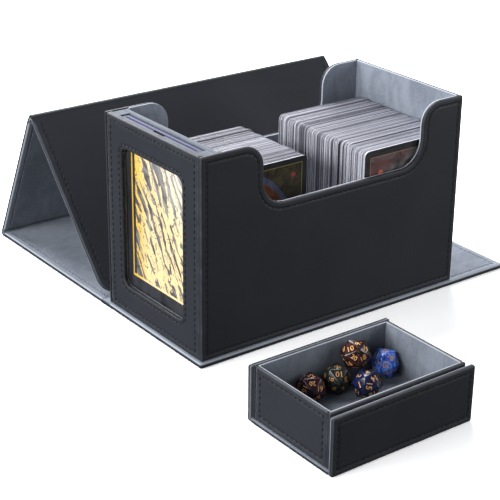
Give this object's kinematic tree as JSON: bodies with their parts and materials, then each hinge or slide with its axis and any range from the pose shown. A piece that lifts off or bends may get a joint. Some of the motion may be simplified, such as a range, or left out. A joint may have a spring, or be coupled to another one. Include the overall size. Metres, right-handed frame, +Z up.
{
  "type": "trading card deck box with folding cover",
  "caption": "Leatherette deck box on a folding cover, with a display window, card rows open at the top, and a sleeved dice tray.",
  "frame": {"origin": "floor level under the middle of the card box", "axes": "+X along the box away from the display window, +Y towards the cover's far hinge, +Z up"},
  "size_m": [0.2322, 0.3377, 0.115],
  "materials": {
    "black_leatherette": "fine grained matt leatherette with dark stitching",
    "greyboard": "plain greyboard",
    "grey_suede": "short-napped blue-grey suede cloth",
    "clear_film": "clear film",
    "holder_plastic": "clear plastic with a violet tint at the edges",
    "card_stock": "sleeved card edges",
    "display_card_print": "gold and black foil pattern",
    "left_deck_front_card_print": "printed card with a dark border",
    "right_deck_front_card_print": "printed card with a dark border",
    "magnet": "plated discs",
    "foam": "thin foam sheet",
    "maroon_die": "dark swirled resin",
    "grey_die": "dark grey-green swirled resin",
    "navy_die": "dark blue swirled resin",
    "blue_die": "light and deep blue speckled resin",
    "brown_die": "black and brown swirled resin"
  },
  "bodies": {
    "case": {"base_panel_leather": "black_leatherette", "base_panel_board": "greyboard", "base_panel_suede": "grey_suede", "base_hinge_strip": "black_leatherette", "bottom_board": "greyboard", "floor_lining": "grey_suede", "front_wall_leather": "black_leatherette", "front_wall_board": "greyboard", "front_wall_lining": "grey_suede", "front_wall_magnets": "magnet", "back_wall_leather": "black_leatherette", "back_wall_board": "greyboard", "back_wall_lining": "grey_suede", "end_wall_leather": "black_leatherette", "end_wall_board": "greyboard", "end_wall_lining": "grey_suede", "window_wall_leather": "black_leatherette", "window_wall_board": "greyboard", "window_wall_film": "clear_film", "pocket_wall_board": "greyboard", "pocket_wall_lining": "grey_suede", "pocket_spacers": "grey_suede"},
    "back_panel": {"back_panel_leather": "black_leatherette", "back_panel_board": "greyboard", "back_panel_suede": "grey_suede", "back_hinge_strip": "black_leatherette"},
    "top_panel": {"top_panel_leather": "black_leatherette", "top_panel_board": "greyboard", "top_panel_suede": "grey_suede", "ridge_hinge_strip": "black_leatherette"},
    "flap": {"flap_leather": "black_leatherette", "flap_board": "greyboard", "flap_suede": "grey_suede", "flap_magnets": "magnet"},
    "display": {"card_holder": "holder_plastic", "display_card": "display_card_print"},
    "left_deck": {"left_deck_cards": "card_stock", "left_deck_front_card": "left_deck_front_card_print"},
    "right_deck": {"right_deck_cards": "card_stock", "right_deck_front_card": "right_deck_front_card_print"},
    "sleeve": {"sleeve_leather": "black_leatherette", "sleeve_bottom_board": "greyboard", "sleeve_front_board": "greyboard", "sleeve_back_board": "greyboard", "sleeve_lining": "grey_suede"},
    "tray": {"tray_leather": "black_leatherette", "tray_bottom_board": "greyboard", "tray_long_boards": "greyboard", "tray_end_boards": "greyboard", "tray_floor_pad": "foam", "tray_lining": "grey_suede"},
    "maroon_die_body": {"maroon_die": "maroon_die"},
    "grey_die_body": {"grey_die": "grey_die"},
    "navy_die_body": {"navy_die": "navy_die"},
    "blue_die_body": {"blue_die": "blue_die"},
    "brown_die_body": {"brown_die": "brown_die"}
  },
  "joints": [
    {"name": "base_hinge", "type": "hinge", "parent": "case", "child": "back_panel", "pos_m": [0, 0.0468, 0.0015], "axis": [1, 0, 0], "range_deg": [0, 40]},
    {"name": "back_hinge", "type": "hinge", "parent": "back_panel", "child": "top_panel", "pos_m": [0, 0.1708, 0.0015], "axis": [1, 0, 0], "range_deg": [-116.5, 0]},
    {"name": "ridge_hinge", "type": "hinge", "parent": "top_panel", "child": "flap", "pos_m": [0, 0.12707, 0.0892], "axis": [1, 0, 0], "range_deg": [-111.68, 0]},
    {"name": "display_lift", "type": "slide", "parent": "case", "child": "display", "axis": [0, 0, 1], "range_m": [0, 0.112]},
    {"name": "left_deck_lift", "type": "slide", "parent": "case", "child": "left_deck", "axis": [0, 0, 1], "range_m": [0, 0.1]},
    {"name": "right_deck_lift", "type": "slide", "parent": "case", "child": "right_deck", "axis": [0, 0, 1], "range_m": [0, 0.1]},
    {"name": "sleeve_lift", "type": "slide", "parent": "case", "child": "sleeve", "axis": [0, 0, 1], "range_m": [0, 0.05]},
    {"name": "tray_lift", "type": "slide", "parent": "sleeve", "child": "tray", "axis": [0, 0, 1], "range_m": [0, 0.05]},
    {"name": "maroon_die_lift", "type": "slide", "parent": "tray", "child": "maroon_die_body", "axis": [0, 0, 1], "range_m": [0, 0.04]},
    {"name": "grey_die_lift", "type": "slide", "parent": "tray", "child": "grey_die_body", "axis": [0, 0, 1], "range_m": [0, 0.04]},
    {"name": "blue_die_lift", "type": "slide", "parent": "tray", "child": "blue_die_body", "axis": [0, 0, 1], "range_m": [0, 0.04]},
    {"name": "navy_die_slide", "type": "slide", "parent": "tray", "child": "navy_die_body", "axis": [0, -1, 0], "range_m": [0, 0.022]},
    {"name": "brown_die_lift", "type": "slide", "parent": "grey_die_body", "child": "brown_die_body", "axis": [0, 0, 1], "range_m": [0, 0.04]}
  ],
  "couplings": [
    {"joint": "ridge_hinge", "follows": "back_hinge", "ratio": 0.58}
  ]
}
